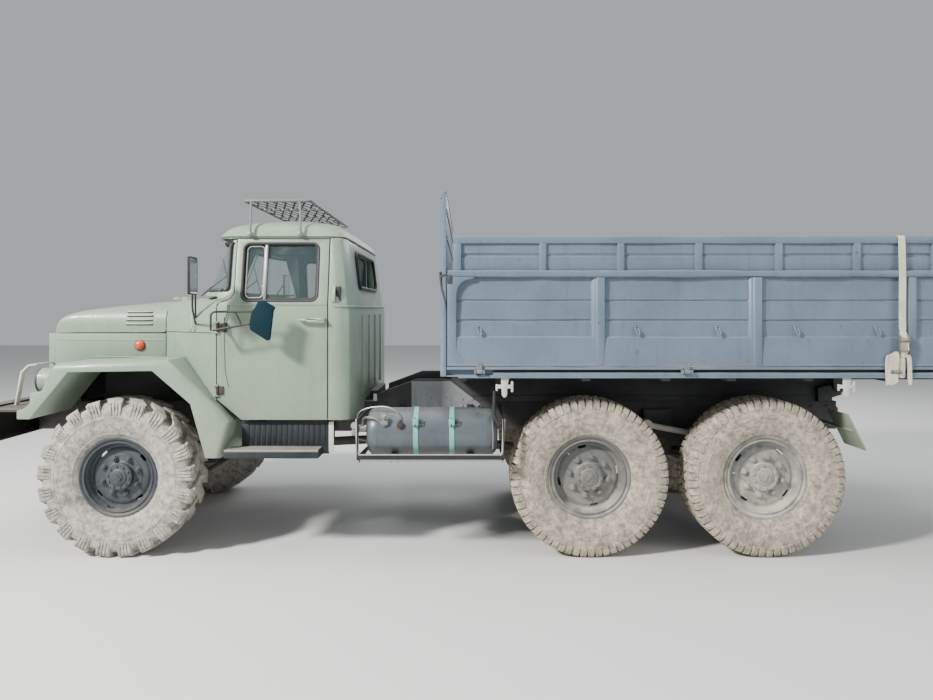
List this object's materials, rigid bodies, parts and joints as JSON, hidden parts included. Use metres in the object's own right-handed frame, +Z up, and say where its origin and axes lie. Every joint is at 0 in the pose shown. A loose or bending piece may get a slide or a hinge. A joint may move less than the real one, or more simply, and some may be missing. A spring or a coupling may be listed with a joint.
{
  "type": "six-wheel-drive military cargo truck with a tipping drop-side bed",
  "caption": "Bonneted six-wheel-drive army cargo truck with hinged doors and hood, steered front wheels, and a tipping bed with drop sides.",
  "frame": {"origin": "on the ground below the middle of the truck's length and width, wheels resting on z = 0", "axes": "+X towards the rear, so the truck faces -X; +Y towards its right side; +Z up"},
  "size_m": [7.69, 2.7426, 2.561],
  "materials": {
    "cab_paint": "semi-gloss, dusty, grey-green",
    "bed_paint": "satin, dented, slate blue-grey",
    "chassis_paint": "matt black with dust",
    "wheel_paint": "blue-grey, dusty",
    "tyre_rubber": "matt, dusty beige",
    "clear_glass": "clear",
    "seat_cover": "matt artificial leather",
    "trim_black": "matt",
    "tank_steel": "satin grey, scuffed",
    "lamp_lens": "orange-red lenses and lamp glass",
    "mirror_back": "dark teal",
    "bare_steel": "worn bare steel",
    "strap_web": "cream polyester webbing",
    "rack_metal": "worn grey-green paint"
  },
  "bodies": {
    "chassis": {"hood_sides": "cab_paint", "grille": "cab_paint", "front_fenders": "cab_paint", "cowl": "cab_paint", "windshield_frame": "cab_paint", "cab_back_wall": "cab_paint", "cab_roof": "cab_paint", "frame_rails": "chassis_paint", "frame_crossmembers": "chassis_paint", "subframe": "chassis_paint", "front_bumper": "chassis_paint", "tow_fittings": "chassis_paint", "front_axle": "chassis_paint", "rear_axles": "chassis_paint", "leaf_springs": "chassis_paint", "drive_line": "chassis_paint", "exhaust": "chassis_paint", "running_boards": "chassis_paint", "tank_cradles": "chassis_paint", "cab_floor": "chassis_paint", "cab_glass": "clear_glass", "seats": "seat_cover", "dashboard": "trim_black", "steering_wheel": "trim_black", "mud_flaps": "cab_paint", "tanks": "tank_steel", "lamps": "lamp_lens", "cowl_mirrors": "mirror_back", "roof_rack": "rack_metal"},
    "bed": {"bed_floor": "bed_paint", "bed_sills": "bed_paint", "bed_frame": "chassis_paint", "headboard": "bed_paint"},
    "side_board_left": {"side_board_left": "bed_paint", "tie_strap": "strap_web"},
    "side_board_right": {"side_board_right": "bed_paint"},
    "tailgate": {"tailgate": "bed_paint"},
    "hoist_cylinder": {"hoist_cylinder": "chassis_paint"},
    "hoist_rod": {"hoist_rod": "bare_steel"},
    "hood": {"hood": "cab_paint"},
    "door_left": {"door_left": "cab_paint", "door_glass_left": "clear_glass", "door_mirror": "mirror_back"},
    "door_right": {"door_right": "cab_paint", "door_glass_right": "clear_glass"},
    "knuckle_left": {"knuckle_left": "chassis_paint"},
    "knuckle_right": {"knuckle_right": "chassis_paint"},
    "tie_rod": {"tie_rod": "chassis_paint"},
    "wheel_front_left": {"tyre_front_left": "tyre_rubber", "rim_front_left": "wheel_paint"},
    "wheel_front_right": {"tyre_front_right": "tyre_rubber", "rim_front_right": "wheel_paint"},
    "wheel_middle_left": {"tyre_middle_left": "tyre_rubber", "rim_middle_left": "wheel_paint"},
    "wheel_middle_right": {"tyre_middle_right": "tyre_rubber", "rim_middle_right": "wheel_paint"},
    "wheel_rear_left": {"tyre_rear_left": "tyre_rubber", "rim_rear_left": "wheel_paint"},
    "wheel_rear_right": {"tyre_rear_right": "tyre_rubber", "rim_rear_right": "wheel_paint"}
  },
  "joints": [
    {"name": "steer_left", "type": "hinge", "parent": "chassis", "child": "knuckle_left", "pos_m": [-2.745, -0.71, 0.56], "axis": [0, 0, 1], "range_deg": [-30, 30]},
    {"name": "steer_right", "type": "hinge", "parent": "chassis", "child": "knuckle_right", "pos_m": [-2.745, 0.71, 0.56], "axis": [0, 0, 1], "range_deg": [-30, 30]},
    {"name": "tie_rod_turn", "type": "hinge", "parent": "knuckle_left", "child": "tie_rod", "pos_m": [-2.495, -0.71, 0.37], "axis": [0, 0, 1], "range_deg": [-30, 30]},
    {"name": "bed_tip", "type": "hinge", "parent": "chassis", "child": "bed", "pos_m": [2.635, 0, 1.15], "axis": [0, 1, 0], "range_deg": [0, 50]},
    {"name": "board_drop_left", "type": "hinge", "parent": "bed", "child": "side_board_left", "pos_m": [1.7, -1.252, 1.33], "axis": [1, 0, 0], "range_deg": [0, 175]},
    {"name": "board_drop_right", "type": "hinge", "parent": "bed", "child": "side_board_right", "pos_m": [1.7, 1.252, 1.33], "axis": [-1, 0, 0], "range_deg": [0, 175]},
    {"name": "tailgate_swing", "type": "hinge", "parent": "bed", "child": "tailgate", "pos_m": [3.823, 0, 2.23], "axis": [0, -1, 0], "range_deg": [0, 60]},
    {"name": "hood_open", "type": "hinge", "parent": "chassis", "child": "hood", "pos_m": [-2.544, 0, 1.847], "axis": [0, 1, 0], "range_deg": [0, 45]},
    {"name": "door_open_left", "type": "hinge", "parent": "chassis", "child": "door_left", "pos_m": [-2.023, -1.058, 1.4], "axis": [0, 0, -1], "range_deg": [0, 55]},
    {"name": "door_open_right", "type": "hinge", "parent": "chassis", "child": "door_right", "pos_m": [-2.023, 1.058, 1.4], "axis": [0, 0, 1], "range_deg": [0, 55]},
    {"name": "wheel_spin_front_left", "type": "hinge", "parent": "knuckle_left", "child": "wheel_front_left", "pos_m": [-2.745, -0.91, 0.56], "axis": [0, 1, 0], "continuous": true},
    {"name": "wheel_spin_front_right", "type": "hinge", "parent": "knuckle_right", "child": "wheel_front_right", "pos_m": [-2.745, 0.91, 0.56], "axis": [0, 1, 0], "continuous": true},
    {"name": "wheel_spin_middle_left", "type": "hinge", "parent": "chassis", "child": "wheel_middle_left", "pos_m": [0.605, -0.91, 0.56], "axis": [0, 1, 0], "continuous": true},
    {"name": "wheel_spin_middle_right", "type": "hinge", "parent": "chassis", "child": "wheel_middle_right", "pos_m": [0.605, 0.91, 0.56], "axis": [0, 1, 0], "continuous": true},
    {"name": "wheel_spin_rear_left", "type": "hinge", "parent": "chassis", "child": "wheel_rear_left", "pos_m": [1.855, -0.91, 0.56], "axis": [0, 1, 0], "continuous": true},
    {"name": "wheel_spin_rear_right", "type": "hinge", "parent": "chassis", "child": "wheel_rear_right", "pos_m": [1.855, 0.91, 0.56], "axis": [0, 1, 0], "continuous": true},
    {"name": "hoist_tilt", "type": "hinge", "parent": "chassis", "child": "hoist_cylinder", "pos_m": [2.305, 0, 0.85], "axis": [0, 1, 0], "range_deg": [-1, 50.58]},
    {"name": "hoist_extend", "type": "slide", "parent": "hoist_cylinder", "child": "hoist_rod", "axis": [-0.9131, 0, 0.4078], "range_m": [-0.005, 0.3869]}
  ],
  "couplings": [
    {"joint": "steer_right", "follows": "steer_left", "ratio": 1},
    {"joint": "tie_rod_turn", "follows": "steer_left", "ratio": -1},
    {"joint": "hoist_tilt", "follows": "bed_tip", "ratio": 0.99155},
    {"joint": "hoist_extend", "follows": "bed_tip", "m_per_rad": 0.43188}
  ]
}
